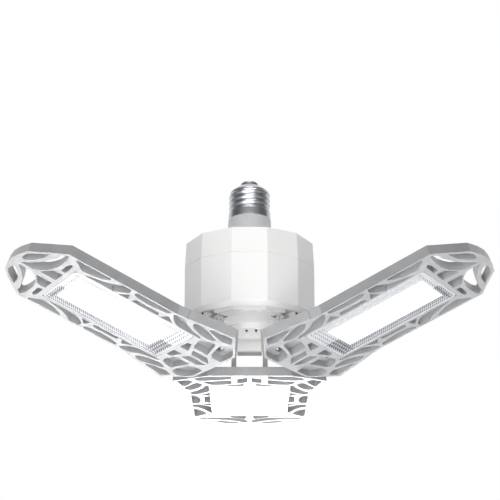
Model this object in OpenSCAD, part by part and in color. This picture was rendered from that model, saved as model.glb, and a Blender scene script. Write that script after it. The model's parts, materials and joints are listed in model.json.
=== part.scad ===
// Screw-in garage light with three folding LED arms.
// The origin is on the lamp's axis, where the screw shell meets its collar. +Z points to the lamp holder.

/* [Screw cap] */
// Radius of the plain skirt at the foot of the screw shell
skirt_r = 13.3; // [13.1:0.05:13.4]
// Height of the plain skirt
skirt_h = 4.9; // [2.6:0.1:6]
// Radius at the bottom of the thread
thread_root_r = 12.3; // [12.1:0.05:12.5]
// How far the thread stands out from its root
thread_h = 0.8; // [0.5:0.05:0.9]
// Rise of the thread in one turn
thread_pitch = 3.63; // [3.4:0.01:3.9]
// Turns of thread
thread_turns = 3.5; // [2.5:0.5:4]
// Sheet thickness of the screw shell
shell_wall = 0.5; // [0.4:0.05:0.7]
// Height of the sloping shoulder above the thread
shoulder_h = 3.2; // [2.4:0.1:4]
// Radius at the top of the shoulder
shoulder_r = 8.4; // [7.4:0.1:9.4]
// Height of the insulator above the shoulder
insulator_h = 2; // [1.4:0.1:2.6]
// Radius of the centre contact
contact_r = 5.7; // [5:0.1:6.2]
// Height of the centre contact above the insulator
contact_h = 2.6; // [1.8:0.1:3.2]

/* [Collar] */
// Height of the collar between the housing and the screw shell
collar_h = 19; // [17:0.5:26]
// Radius of the collar under the screw shell
collar_top_r = 13.5; // [13.4:0.1:14]
// Radius of the collar on the housing
collar_foot_r = 14; // [13.8:0.1:15.5]
// Wall of the collar
collar_wall = 2; // [1.4:0.1:2.6]
// Height of the spigot inside the screw shell
spigot_h = 12; // [9:0.5:14]

/* [Housing] */
// Radius over the corners at the lower edge
housing_foot_r = 41.2; // [40.8:0.1:42.2]
// How much wider the radius is at the parting line
belt_swell = 0.2; // [0:0.1:0.6]
// How much the radius narrows from the parting line to the top
top_taper = 0.8; // [0.3:0.1:1.2]
// Height of the upper shell
upper_h = 15.9; // [12:0.5:22]
// Height of the lower shell
lower_h = 33.3; // [30:0.5:40]
// Wall of both shells
housing_wall = 2.2; // [1.8:0.1:2.4]
// Chamfer of the lower edge
foot_chamfer = 2.8; // [2:0.1:3]
// Depth of the lip where the shells meet
lip_h = 2.5; // [1.5:0.1:4]

/* [Hub] */
// How far the hinge pins lie below the housing
hinge_drop = 5; // [4.9:0.1:6]
// How far the hub base's first step lies inside the housing's lower edge, measured over the corners
step_one_inset = 4.2; // [3.8:0.1:4.6]
// How far the second step lies inside the first
step_two_inset = 4; // [3:0.1:6]
// How far the third step lies inside the first
step_three_inset = 14.5; // [13:0.1:17]
// How far the hinge pins lie inside the first step
hinge_inset = 8.5; // [7.5:0.1:9]
// How far the first step stands below the housing
step_drop = 1.9; // [1.4:0.1:2.2]
// How far each further step stands below the one before
step_h = 0.5; // [0.3:0.1:0.7]
// Floor of the hub base
hub_floor = 2; // [1.6:0.1:2.2]
// Radius of the central boss where it leaves the hub base
boss_top_r = 13.9; // [13:0.1:15]
// Radius of the central boss at its lower end
boss_foot_r = 12.4; // [11.8:0.1:12.8]
// How far the central boss reaches below the housing
boss_drop = 6.3; // [5:0.1:7]
// Radius of the cap in the boss
hub_cap_r = 10.9; // [10:0.1:11]
// Thickness of the cap in the boss
hub_cap_t = 1.8; // [1.4:0.1:2.2]
// Width of the two slots in the cap
slot_w = 1.35; // [1:0.05:1.8]

/* [Hinges] */
// Width of each hinge knuckle
knuckle_w = 15.6; // [14:0.1:16.4]
// Depth of each hinge knuckle, in and out from the lamp's axis
knuckle_d = 11.6; // [10.4:0.1:12]
// How far each knuckle reaches below its pins
knuckle_drop = 6.3; // [5.4:0.1:7]
// Thickness of each ear
ear_t = 3.05; // [2.6:0.05:3.4]
// Radius of the top of each ear
ear_r = 4.5; // [4.2:0.05:4.5]
// Gap between a knuckle and an ear
ear_gap = 0.55; // [0.5:0.05:0.7]
// Radius of the screw's plain shoulder, which is the hinge pin
pin_r = 2.5; // [2:0.05:2.7]
// Radius of the screw's head
head_r = 3.9; // [3.5:0.05:4]
// Height of the screw's head
head_h = 2.1; // [1.6:0.1:2.4]
// Length of the brass insert in the knuckle
insert_l = 6; // [4.5:0.1:6.4]
// Radius of the brass insert
insert_r = 3.2; // [2.9:0.05:3.4]
// Thickness of each friction washer
washer_t = 0.4; // [0.3:0.05:0.45]

/* [Arms] */
// Angle that the left and right arms are raised by
raise = 19.57; // [0:1:40]
// Length of the arm's tip beyond the lens
tip_l = 31; // [26:0.5:40]
// Width of the arm
arm_w = 80; // [76:0.5:88]
// How far the LED face lies below the hinge pins
face_drop = 23.6; // [22:0.1:25]
// Depth of the arm from its back to its LED face
arm_depth = 5.8; // [5.4:0.1:6.8]
// Thickness of the arm's back plate
back_t = 1.4; // [1.2:0.1:1.6]
// Wall round the arm
arm_wall = 1.5; // [1.2:0.1:1.8]
// Wall round the lens
rim_wall = 1.5; // [1.2:0.1:1.8]
// Distance of the arm's inner end from the lamp's axis
inner_r = 16.5; // [15.5:0.1:17.5]
// Half of the gap between neighbouring arms when they are flat
neighbour_gap = 1.16; // [0.8:0.01:1.6]
// Length over which the tip narrows
narrow_l = 20; // [18:0.5:21]
// Width of the arm's blunt end
blunt_w = 37.2; // [33:0.1:40]
// How far the blunt end bows out
blunt_bow = 3.2; // [2:0.1:4]
// Rounding of the small pockets
pocket_round = 1; // [0.5:0.1:1.4]
// Rounding of the leaf-shaped pockets
leaf_round = 3.2; // [1.5:0.1:4]

/* [LEDs] */
// Distance of the lens from the lamp's axis
lens_r = 44.3; // [43.5:0.1:46]
// Length of the lens
lens_l = 79.7; // [76:0.1:80.5]
// Width of the lens
lens_w = 49; // [46:0.1:50]
// Thickness of the lens
lens_t = 1.2; // [1:0.1:1.4]
// Thickness of the LED board
led_board_t = 1.5; // [1.2:0.1:1.6]
// Rows of LEDs along the arm
led_rows = 10; // [8:1:11]
// LEDs in each row
led_columns = 6; // [4:1:7]
// Side of each LED
led_side = 2.8; // [2.2:0.1:3.2]
// Height of each LED
led_h = 0.7; // [0.6:0.05:0.8]
// Radius of the screws that hold the LED board
board_screw_r = 1.1; // [0.9:0.05:1.2]

/* [Driver] */
// Gap between the driver board and the housing's foot
driver_gap = 6; // [5:0.5:8]
// Thickness of the driver board
driver_t = 1.6; // [1.2:0.1:2]
// Height of the pillars under the driver board
pillar_h = 8.2; // [7:0.1:10]
// Radius of the pillars
pillar_r = 3; // [2.6:0.1:3.4]
// Radius of the filter capacitors
capacitor_r = 5; // [4:0.1:5.4]
// Height of the filter capacitors
capacitor_h = 20; // [14:0.5:24]
// Width of the transformer's core
core_w = 20; // [18:0.5:21]
// Depth of the transformer's core
core_d = 12; // [10:0.5:13]
// Height of the transformer's core
core_h = 16; // [14:0.5:18]
// Radius of the two leads to the screw cap
lead_r = 0.9; // [0.7:0.05:1]

/* [Hidden] */
$fn = 64;

// Directions of the arms, and the number of the housing's sides that lines them up with a side
left_az = 210;
right_az = 330;
rear_az = 90;
arm_azimuths = [left_az, right_az, rear_az];
between_azimuths = [for (az = arm_azimuths) az + 60];
housing_sides = 12;

// Overrun of every cut, and the clearances
over = 1;
running_fit = 0.05;
seat_fit = 0.1;
light_gap = 0.15;

// Heights, from the collar's top down
housing_top_z = -collar_h;
belt_z = housing_top_z - upper_h;
foot_z = belt_z - lower_h;
hinge_z = foot_z - hinge_drop;
hub_z = foot_z - step_drop;
boss_z = foot_z - boss_drop;

// Screw cap, from the skirt up
thread_foot_z = skirt_h + skirt_r - thread_root_r;
thread_top_z = thread_foot_z + thread_turns * thread_pitch;
shoulder_z = thread_top_z + shoulder_h;
insulator_z = shoulder_z + insulator_h;
contact_z = insulator_z + contact_h;
thread_sink = 0.3 * shell_wall;
thread_rows = 8;
thread_columns = 40;
thread_fade = 0.3;
thread_start = 0.09;
spigot_r = thread_root_r - shell_wall - seat_fit;
spigot_bore_r = spigot_r - collar_wall;
contact_edge_r = 0.75 * contact_h;
contact_dome_h = 0.18 * contact_h;
rivet_r = 0.3 * contact_r;
rivet_l = 1.5 * insulator_h;

// Housing and hub
housing_belt_r = housing_foot_r + belt_swell;
housing_top_r = housing_belt_r - top_taper;
housing_bore_r = housing_foot_r - housing_wall;
belt_bore_r = housing_belt_r - housing_wall;
upper_bore_r = housing_top_r - housing_wall;
lip_wall = 0.7 * housing_wall;
ledge_t = housing_wall;
ledge_z = foot_z + ledge_t;
step_one_r = housing_foot_r - step_one_inset;
step_two_r = step_one_r - step_two_inset;
step_three_r = step_one_r - step_three_inset;
hinge_r = step_one_r - hinge_inset;
driver_r = housing_bore_r - driver_gap;
hub_opening_r = step_one_r + seat_fit;
flange_r = housing_bore_r - seat_fit;
flange_t = 0.7 * hub_floor;
hub_floor_z = hub_z + hub_floor;
hub_rim_wall = hub_floor;
driver_z = hub_floor_z + pillar_h;
driver_top_z = driver_z + driver_t;
pillar_place_r = 0.88 * driver_r;
driver_screw_r = 0.4 * pillar_r;
driver_head_r = 0.85 * pillar_r;
driver_head_h = 0.5 * pillar_r;
boss_bore_r = hub_cap_r - housing_wall / 2;
boss_chamfer = 0.3 * hub_cap_t;
lead_hole_w = 2.2 * slot_w;
lead_hole_d = 1.6 * slot_w;
lead_hole_r = step_one_r - lead_hole_w / 2 - hub_rim_wall / 6;
lead_hole_share = 0.7;

// Slots in the hub cap, sideways places and front, middle and back ends as shares of the cap's radius
slot_side_shares = [-0.17, 0.37];
slot_end_shares = [-0.83, -0.18, 0.55];
groove_depth = 0.4 * hub_cap_t;

// Hinges, measured sideways from the middle of the arm
knuckle_side = knuckle_w / 2;
ear_in = knuckle_side + ear_gap;
ear_out = ear_in + ear_t;
head_in = ear_out + seat_fit;
head_out = head_in + head_h;
pocket_side = head_out + 0.4 * head_h;
pocket_top_z = hinge_z + ear_r + ear_gap;
pocket_lid = 0.75 * hub_floor;
knuckle_round = 0.35 * knuckle_drop;
thread_r = 0.66 * pin_r;
thread_l = 0.85 * insert_l;
washer_r = 0.98 * ear_r;
recess_w = 0.22 * head_r;
recess_l = 1.3 * head_r;
recess_h = 0.55 * head_h;
ear_root_in = 1.9 * ear_r;
ear_root_out = 1.8 * ear_r;
ear_root_h = 1.05 * ear_r;

// Arms, measured from the lamp's axis with the arm flat; heights are below the hinge pins
arm_side = arm_w / 2;
face_n = -face_drop;
back_n = face_n + arm_depth;
plate_n = back_n - back_t;
recess_side = lens_w / 2 + light_gap;
recess_in = lens_r - light_gap;
recess_out = lens_r + lens_l + light_gap;
rim_side = recess_side + rim_wall;
rim_in = recess_in - rim_wall;
rim_out = recess_out + rim_wall;
arm_reach = lens_r + lens_l + tip_l;
narrow_r = arm_reach - narrow_l;
tip_r = arm_reach - blunt_bow;
wall_side = arm_side - arm_wall;
corner_reach_share = 0.49;
corner_steps = 3;

// Each zone is its near and far distance from the lamp's axis, and its inner and outer distance sideways
root_zone = [inner_r + arm_wall, rim_in, 0, wall_side];
side_zone = [rim_in, rim_out, rim_side, wall_side];
tip_zone = [rim_out, arm_reach - arm_wall, 0, wall_side];

// Outline of the arm from its inner corner to the straight side, as shares of the root zone
corner_share = 0.46;
taper_shares = [[0.92, 1.2], [1.3, 1.135], [1.585, 1.08], [1.6, 1.062], [1.625, 1.062], [1.64, 1.072]];
straight_share = 1.88;
bow_share = 0.45;
bow_rise_share = 0.75;

// Pockets of one half of the arm, each a rounding and its corners as shares of a zone
root_pocket_shares = [
    [pocket_round, [[0.12, 0.035], [0.28, 0.2], [0.71, 0.2], [0.61, 0.035]]],
    [pocket_round, [[0.76, 0.1], [1, 0.1], [1, 0.37], [0.89, 0.365]]],
    [leaf_round, [[0, 0.27], [0, 0.675], [0.1, 0.805], [0.24, 0.925], [0.43, 0.845], [0.45, 0.755],
                  [0.4, 0.545], [0.25, 0.27]]],
    [leaf_round, [[0.36, 0.27], [0.78, 0.27], [0.87, 0.52], [0.89, 0.625], [0.79, 0.7], [0.55, 0.78],
                  [0.49, 0.57]]],
    [pocket_round, [[0.335, 1], [0.485, 1.195], [0.995, 1.12], [1.03, 1.08], [0.89, 1.02], [0.53, 0.93]]],
    [leaf_round, [[0.64, 0.885], [0.69, 0.82], [0.83, 0.775], [1.055, 0.805], [1.3, 0.895], [1.4, 0.985],
                  [1.38, 1.05], [1.215, 1.09], [1.055, 1.05], [0.89, 0.975]]]
];
side_pocket_shares = [
    [pocket_round, [[-0.025, 0], [-0.01, 0.19], [0.064, 0.31], [0.137, 0.635], [0.191, 1], [0.257, 1],
                    [0.269, 0.84], [0.233, 0.43], [0.197, 0.15], [0.161, 0]]],
    [pocket_round, [[0.209, 0], [0.279, 0.5], [0.311, 0]]],
    [pocket_round, [[0.291, 0.86], [0.3, 1], [0.57, 1], [0.577, 0.757], [0.546, 0.595], [0.438, 0.5],
                    [0.305, 0.675]]],
    [pocket_round, [[0.327, 0], [0.342, 0.31], [0.534, 0.31], [0.546, 0]]],
    [pocket_round, [[0.57, 0], [0.595, 0.515], [0.649, 0]]],
    [pocket_round, [[0.607, 0.635], [0.613, 1], [0.685, 1], [0.727, 0.675], [0.787, 0.39], [0.872, 0.19],
                    [0.92, 0], [0.691, 0], [0.631, 0.39]]],
    [pocket_round, [[0.769, 0.84], [0.775, 1], [1.028, 1], [1.04, 0.88], [0.992, 0.555], [0.956, 0.27],
                    [0.848, 0.435]]]
];
tip_pocket_shares = [
    [pocket_round, [[0.05, 0.43], [0.156, 0.44], [0.149, 0.727], [0.084, 0.78], [0.048, 0.675]]],
    [pocket_round, [[0.048, 0.065], [0.048, 0.35], [0.228, 0.35], [0.318, 0.234], [0.425, 0.073]]]
];

// Openings right through one half of the arm
tip_opening_shares = [
    [pocket_round, [[0.551, 0.036], [0.443, 0.117], [0.354, 0.208], [0.3, 0.325], [0.246, 0.506],
                    [0.246, 0.675], [0.257, 0.857], [0.3, 0.985], [0.418, 0.88], [0.418, 0.753],
                    [0.461, 0.636], [0.551, 0.416], [0.695, 0.208], [0.856, 0.042]]],
    [pocket_round, [[0.569, 0.75], [0.605, 0.52], [0.731, 0.299], [0.856, 0.177], [0.921, 0.208],
                    [0.921, 0.364], [0.845, 0.49]]]
];
root_opening_shares = [
    [pocket_round, [[0.14, 0.325], [0.28, 0.325], [0.36, 0.42], [0.36, 0.52], [0.14, 0.52]]],
    [pocket_round, [[0.65, 0.58], [0.79, 0.58], [0.79, 0.66], [0.65, 0.69]]]
];
ear_rib_share = 0.75;

// Lens tabs, as shares of the lens's length
tab_shares = [0.305, 0.505, 0.71];
tab_w = 0.9 * lens_t;
tab_l = 0.6 * rim_wall;

// LED board and its screws
led_board_side = lens_w / 2 - light_gap;
led_board_n = plate_n - led_board_t;
led_field_share = 0.84;
board_screw_inset = 3.2 * board_screw_r;
board_head_r = 1.8 * board_screw_r;
board_head_h = 0.8 * board_screw_r;
lens_corner = 1.6 * lens_t;

// Places of the driver's parts on its board, as shares of the board's radius
transformer_shares = [-0.46, -0.02];
capacitor_shares = [[0.36, -0.5], [-0.02, -0.6]];
rectifier_shares = [0.66, 0.02];
choke_shares = [-0.3, 0.56];
fuse_shares = [-0.04, 0.4];
heat_sink_shares = [0.3, 0.52];
socket_share = 0.84;
winding_d = 1.5 * core_d;
leg_w = 0.3 * core_w;
window_w = 0.2 * core_w;
window_h = 0.56 * core_h;
winding_fit = 2 * seat_fit;
rectifier_w = 0.9 * capacitor_r;
rectifier_h = 1.6 * capacitor_r;
choke_r = 0.9 * capacitor_r;
choke_core_r = 0.6 * choke_r;
choke_flange_h = 0.35 * choke_r;
choke_h = 2.4 * choke_r;
fuse_r = 0.4 * capacitor_r;
fuse_h = 0.45 * capacitor_h;
transistor_w = 0.5 * core_w;
transistor_t = 0.4 * core_d;
transistor_h = 0.6 * core_h;
sink_w = 0.8 * core_w;
sink_t = 0.18 * core_d;
sink_h = 1.2 * core_h;
socket_w = 0.3 * core_w;
socket_h = 0.35 * core_h;
neutral_lead_r = spigot_bore_r - 1.3 * lead_r;

function at(zone, share) = [
    zone[0] + share[0] * (zone[1] - zone[0]),
    zone[2] + share[1] * (zone[3] - zone[2])
];

function unit(v) = v / norm(v);

// A bend of few points in place of the corner p, between its neighbours a and b
function bend(p, a, b, round) =
    let (reach = min(round, corner_reach_share * norm(a - p), corner_reach_share * norm(b - p)))
    let (start = p + reach * unit(a - p), end = p + reach * unit(b - p))
    [for (i = [0 : corner_steps]) let (t = i / corner_steps)
        (1 - t) * (1 - t) * start + 2 * t * (1 - t) * p + t * t * end];

function rounded(points, round) =
    let (n = len(points))
    [for (i = [0 : n - 1]) each bend(points[i], points[(i + n - 1) % n], points[(i + 1) % n], round)];

function rectangle(x0, x1, y0, y1) = [[x0, y0], [x1, y0], [x1, y1], [x0, y1]];

// Distance sideways at which an arm meets its neighbour's gap, at a distance from the lamp's axis
function seam_side(r) = (r * sin(60) - neighbour_gap) / cos(60);

module twelve_sided(foot_r, top_r, h) {
    rotate([0, 0, 180 / housing_sides])
        cylinder(r1 = foot_r, r2 = top_r, h = h, $fn = housing_sides);
}

module prism(r, h) {
    rotate([0, 0, 180 / housing_sides])
        cylinder(r = r, h = h, $fn = housing_sides);
}

// Screw cap

module centre_contact() {
    edge = [for (a = [0 : 15 : 75])
        [contact_r - contact_edge_r * (1 - cos(a)),
         insulator_z + contact_h - contact_dome_h - contact_edge_r * (1 - sin(a))]];
    color([0.66, 0.66, 0.65]) {
        rotate_extrude()
            polygon(concat([[0, insulator_z], [contact_r, insulator_z]], edge, [[0, contact_z]]));
        translate([0, 0, insulator_z - rivet_l])
            cylinder(r = rivet_r, h = rivet_l + contact_dome_h);
    }
}

module cap_insulator() {
    foot_r = shoulder_r - shell_wall;
    color([0.45, 0.45, 0.46])
        difference() {
            union() {
                translate([0, 0, shoulder_z])
                    cylinder(r1 = shoulder_r, r2 = contact_r, h = insulator_h);
                translate([0, 0, shoulder_z - shell_wall])
                    cylinder(r = foot_r - seat_fit, h = shell_wall + seat_fit);
            }
            translate([0, 0, shoulder_z - shell_wall - over])
                cylinder(r = rivet_r + seat_fit, h = insulator_h + shell_wall + 2 * over);
        }
}

// The rolled, right-handed thread, a closed tube over the shell that fades to its root at both ends
module thread_tube() {
    foot = thread_foot_z - thread_sink;
    height = thread_top_z - thread_sink - foot;
    rows = round(thread_turns * thread_rows);
    ring_n = thread_columns;
    outer = [for (k = [0 : rows]) let (rise = height * k / rows)
        let (fade = min(1, min(rise, height - rise) / (thread_fade * thread_pitch)))
        for (i = [0 : ring_n - 1]) let (turn = i / ring_n)
        let (wave = (1 + cos(360 * (rise / thread_pitch - turn - thread_start))) / 2)
        let (r = thread_root_r + thread_h * wave * fade)
        [r * cos(360 * turn), r * sin(360 * turn), foot + rise]];
    inner = [for (z = [foot, foot + height]) for (i = [0 : ring_n - 1])
        let (r = thread_root_r - 2 * thread_sink)
        [r * cos(360 * i / ring_n), r * sin(360 * i / ring_n), z]];
    top = rows * ring_n;
    low_in = top + ring_n;
    top_in = low_in + ring_n;
    walls = [for (k = [0 : rows - 1]) for (i = [0 : ring_n - 1])
        let (a = k * ring_n + i, b = k * ring_n + (i + 1) % ring_n)
        each [[a, a + ring_n, b], [b, a + ring_n, b + ring_n]]];
    rest = [for (i = [0 : ring_n - 1]) let (j = (i + 1) % ring_n)
        each [[low_in + i, low_in + j, top_in + i], [low_in + j, top_in + j, top_in + i],
              [i, j, low_in + i], [j, low_in + j, low_in + i],
              [top + i, top_in + i, top + j], [top + j, top_in + i, top_in + j]]];
    polyhedron(points = concat(outer, inner), faces = concat(walls, rest));
}

module screw_shell() {
    core_r = thread_root_r - thread_sink;
    inner_r = thread_root_r - shell_wall;
    outer = [[skirt_r, 0], [skirt_r, skirt_h], [core_r, skirt_h + skirt_r - core_r],
             [core_r, thread_top_z - 3 * thread_sink], [core_r + 3 * thread_sink, thread_top_z],
             [shoulder_r, shoulder_z]];
    inner = [[shoulder_r - shell_wall, shoulder_z], [shoulder_r - shell_wall, shoulder_z - shell_wall],
             [inner_r, thread_top_z - shell_wall], [inner_r, thread_foot_z - shell_wall],
             [skirt_r - shell_wall, skirt_h - shell_wall], [skirt_r - shell_wall, 0]];
    color([0.6, 0.61, 0.63]) {
        rotate_extrude()
            polygon(concat(outer, inner));
        thread_tube();
    }
}

module cap_collar() {
    color([0.78, 0.78, 0.79])
        difference() {
            union() {
                translate([0, 0, housing_top_z])
                    cylinder(r1 = collar_foot_r, r2 = collar_top_r, h = collar_h);
                cylinder(r = spigot_r, h = spigot_h);
                translate([0, 0, housing_top_z - housing_wall])
                    cylinder(r = spigot_r, h = housing_wall + over);
            }
            translate([0, 0, housing_top_z - housing_wall - over])
                cylinder(r = spigot_bore_r, h = collar_h + housing_wall + spigot_h + 2 * over);
        }
}

// Housing

module upper_housing() {
    lip_r = belt_bore_r - seat_fit;
    color([0.95, 0.95, 0.95])
        difference() {
            union() {
                translate([0, 0, belt_z])
                    twelve_sided(housing_belt_r, housing_top_r, upper_h);
                translate([0, 0, belt_z - lip_h])
                    prism(lip_r, lip_h + over);
            }
            translate([0, 0, belt_z - lip_h - over])
                prism(lip_r - lip_wall, upper_h + lip_h + over - housing_wall);
            translate([0, 0, belt_z + lip_h])
                prism(upper_bore_r, upper_h - lip_h - housing_wall);
            translate([0, 0, housing_top_z - housing_wall - over])
                cylinder(r = spigot_r + seat_fit, h = housing_wall + 2 * over);
        }
}

module lower_housing() {
    lip_foot_z = belt_z - lip_h - seat_fit;
    color([0.95, 0.95, 0.95])
        difference() {
            union() {
                translate([0, 0, foot_z])
                    twelve_sided(housing_foot_r - foot_chamfer, housing_foot_r, foot_chamfer);
                translate([0, 0, foot_z + foot_chamfer])
                    twelve_sided(housing_foot_r, housing_belt_r, lower_h - foot_chamfer);
            }
            translate([0, 0, ledge_z])
                twelve_sided(housing_bore_r, belt_bore_r, lip_foot_z - ledge_z);
            translate([0, 0, lip_foot_z])
                prism(belt_bore_r, lip_h + over);
            translate([0, 0, foot_z - over])
                prism(hub_opening_r, ledge_t + 2 * over);
        }
}

// Hub

// Side outline of a knuckle, from the hub down to its rounded foot
module knuckle() {
    half_d = knuckle_d / 2;
    top = pocket_top_z + pocket_lid - hinge_z;
    outline = rounded(rectangle(-half_d, half_d, -knuckle_drop, top), knuckle_round);
    translate([0, knuckle_side, 0])
        rotate([90, 0, 0])
            linear_extrude(height = knuckle_w)
                union() {
                    polygon(outline);
                    translate([-half_d, top - 2 * knuckle_round])
                        square([knuckle_d, 2 * knuckle_round]);
                }
}

// Moves what follows to an arm's hinge, in the arm's own directions
module at_hinge(az, tilt) {
    rotate([0, 0, az])
        translate([hinge_r, 0, hinge_z])
            rotate([0, -tilt, 0])
                children();
}

// Room for the ears and screw heads of one arm, open to the outside
module ear_pocket() {
    depth = hinge_r + housing_foot_r;
    for (side = [-1, 1])
        translate([-knuckle_d / 2, side < 0 ? -pocket_side : knuckle_side, -hinge_drop])
            cube([depth, pocket_side - knuckle_side, hinge_drop + ear_r + ear_gap]);
}

module hub_steps() {
    translate([0, 0, hub_z])
        prism(step_one_r, ledge_z - hub_z);
    translate([0, 0, hub_z - step_h])
        prism(step_two_r, hub_floor);
    translate([0, 0, hub_z - 2 * step_h])
        prism(step_three_r, hub_floor);
    translate([0, 0, ledge_z])
        prism(flange_r, flange_t);
}

module hub_base() {
    lid_z = pocket_top_z + pocket_lid;
    color([0.92, 0.92, 0.92])
        difference() {
            union() {
                difference() {
                    hub_steps();
                    translate([0, 0, hub_floor_z])
                        prism(step_one_r - hub_rim_wall, lower_h);
                    for (az = arm_azimuths)
                        at_hinge(az, 0)
                            ear_pocket();
                }
                translate([0, 0, boss_z])
                    cylinder(r1 = boss_foot_r, r2 = boss_top_r, h = hub_z - boss_z);
                for (az = arm_azimuths) {
                    at_hinge(az, 0)
                        knuckle();
                    pocket_box(az, lid_z);
                }
                for (az = between_azimuths)
                    rotate([0, 0, az])
                        translate([pillar_place_r, 0, hub_z])
                            cylinder(r = pillar_r, h = driver_z - hub_z);
            }
            translate([0, 0, boss_z - over])
                cylinder(r = boss_bore_r, h = lower_h);
            translate([0, 0, boss_z - over])
                cylinder(r = hub_cap_r + seat_fit, h = hub_cap_t + over);
            for (az = arm_azimuths)
                at_hinge(az, 0) {
                    insert_bores();
                    lead_holes();
                }
            for (az = between_azimuths)
                rotate([0, 0, az])
                    translate([pillar_place_r, 0, hub_floor_z])
                        cylinder(r = driver_screw_r + running_fit, h = pillar_h + over);
        }
}

// Lid and side walls that close the ear pockets of one arm off from the inside of the housing
module pocket_box(az, lid_z) {
    reach = step_one_r - hub_rim_wall;
    box_in = hinge_r - knuckle_d / 2 - pocket_lid;
    box_side = pocket_side + pocket_lid;
    intersection() {
        translate([0, 0, hub_z - over])
            prism(reach + hub_rim_wall / 2, lower_h);
        rotate([0, 0, az])
            difference() {
                translate([box_in, -box_side, hub_z])
                    cube([step_one_r, 2 * box_side, lid_z - hub_z]);
                translate([hinge_r, 0, hinge_z])
                    ear_pocket();
            }
    }
}

module insert_bores() {
    for (side = [-1, 1])
        translate([0, side * (knuckle_side + over), 0])
            rotate([side * 90, 0, 0])
                cylinder(r = insert_r + running_fit, h = insert_l + over);
}

// Two holes behind each knuckle that let an arm's leads out
module lead_holes() {
    for (side = [-1, 1])
        translate([lead_hole_r - hinge_r - lead_hole_w / 2,
                   side * lead_hole_share * knuckle_side - lead_hole_d / 2, hub_z - hinge_z - over])
            cube([lead_hole_w, lead_hole_d, hub_floor + hinge_drop + over]);
}

module hub_cap() {
    color([0.93, 0.93, 0.93])
        difference() {
            union() {
                translate([0, 0, boss_z + boss_chamfer])
                    cylinder(r = hub_cap_r, h = hub_cap_t - boss_chamfer);
                translate([0, 0, boss_z])
                    cylinder(r1 = hub_cap_r - boss_chamfer, r2 = hub_cap_r, h = boss_chamfer);
            }
            for (place = slot_side_shares)
                translate([place * hub_cap_r - slot_w / 2, 0, boss_z - over]) {
                    translate([0, slot_end_shares[0] * hub_cap_r, 0])
                        cube([slot_w, (slot_end_shares[1] - slot_end_shares[0]) * hub_cap_r,
                              hub_cap_t + 2 * over]);
                    translate([0, slot_end_shares[1] * hub_cap_r, 0])
                        cube([slot_w, (slot_end_shares[2] - slot_end_shares[1]) * hub_cap_r,
                              groove_depth + over]);
                }
        }
}

// Hinge hardware, each piece at both sides of each arm

module at_both_ears() {
    for (az = arm_azimuths)
        for (side = [-1, 1])
            at_hinge(az, 0)
                rotate([side * -90, 0, 0])
                    children();
}

module hinge_screw() {
    difference() {
        union() {
            translate([0, 0, knuckle_side - thread_l])
                cylinder(r = thread_r, h = thread_l + over);
            translate([0, 0, knuckle_side])
                cylinder(r = pin_r, h = head_in - knuckle_side);
            translate([0, 0, head_in])
                cylinder(r = head_r, h = head_h / 2);
            translate([0, 0, head_in + head_h / 2])
                cylinder(r1 = head_r, r2 = head_r - head_h / 3, h = head_h / 2);
        }
        for (a = [0, 90])
            rotate([0, 0, a])
                translate([-recess_l / 2, -recess_w / 2, head_out - recess_h])
                    cube([recess_l, recess_w, recess_h + over]);
    }
}

module hinge_screws() {
    color([0.6, 0.6, 0.61])
        at_both_ears()
            hinge_screw();
}

module hinge_inserts() {
    color([0.8, 0.65, 0.35])
        at_both_ears()
            translate([0, 0, knuckle_side - insert_l])
                difference() {
                    cylinder(r = insert_r, h = insert_l);
                    translate([0, 0, -over])
                        cylinder(r = thread_r + running_fit, h = insert_l + 2 * over);
                }
}

module hinge_washers() {
    color([0.2, 0.2, 0.2])
        at_both_ears()
            translate([0, 0, knuckle_side])
                difference() {
                    cylinder(r = washer_r, h = washer_t);
                    translate([0, 0, -over])
                        cylinder(r = pin_r + seat_fit, h = washer_t + 2 * over);
                }
}

// Driver

module on_board(shares) {
    translate([shares[0] * driver_r, shares[1] * driver_r, driver_top_z])
        children();
}

module block(w, d, h) {
    translate([-w / 2, -d / 2, 0])
        cube([w, d, h]);
}

module driver_board() {
    color([0.2, 0.4, 0.25])
        difference() {
            translate([0, 0, driver_z])
                cylinder(r = driver_r, h = driver_t);
            for (az = between_azimuths)
                rotate([0, 0, az])
                    translate([pillar_place_r, 0, driver_z - over])
                        cylinder(r = driver_screw_r + seat_fit, h = driver_t + 2 * over);
        }
}

module driver_screws() {
    color([0.7, 0.7, 0.7])
        for (az = between_azimuths)
            rotate([0, 0, az])
                translate([pillar_place_r, 0, 0]) {
                    translate([0, 0, driver_top_z])
                        cylinder(r = driver_head_r, h = driver_head_h);
                    translate([0, 0, driver_z - pillar_h / 2])
                        cylinder(r = driver_screw_r, h = pillar_h / 2 + driver_t + driver_head_h / 2);
                }
}

module transformer_core() {
    window_z = (core_h - window_h) / 2;
    color([0.25, 0.25, 0.27])
        on_board(transformer_shares)
            difference() {
                block(core_w, core_d, core_h);
                for (side = [-1, 1])
                    translate([side * (leg_w + window_w) / 2, 0, window_z])
                        block(window_w, core_d + 2 * over, window_h);
            }
}

module transformer_winding() {
    winding_z = (core_h - window_h) / 2 + winding_fit;
    winding_h = window_h - 2 * winding_fit;
    color([0.85, 0.7, 0.2])
        on_board(transformer_shares)
            translate([0, 0, winding_z])
                difference() {
                    block(leg_w + 2 * window_w - 2 * winding_fit, winding_d, winding_h);
                    translate([0, 0, -over])
                        block(leg_w + 2 * winding_fit, core_d + 2 * winding_fit, winding_h + 2 * over);
                }
}

module filter_capacitors() {
    color([0.15, 0.15, 0.2])
        for (place = capacitor_shares)
            on_board(place)
                cylinder(r = capacitor_r, h = capacitor_h);
}

module bridge_rectifier() {
    color([0.12, 0.12, 0.12])
        on_board(rectifier_shares)
            block(rectifier_w, 2 * rectifier_w, rectifier_h);
}

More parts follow.
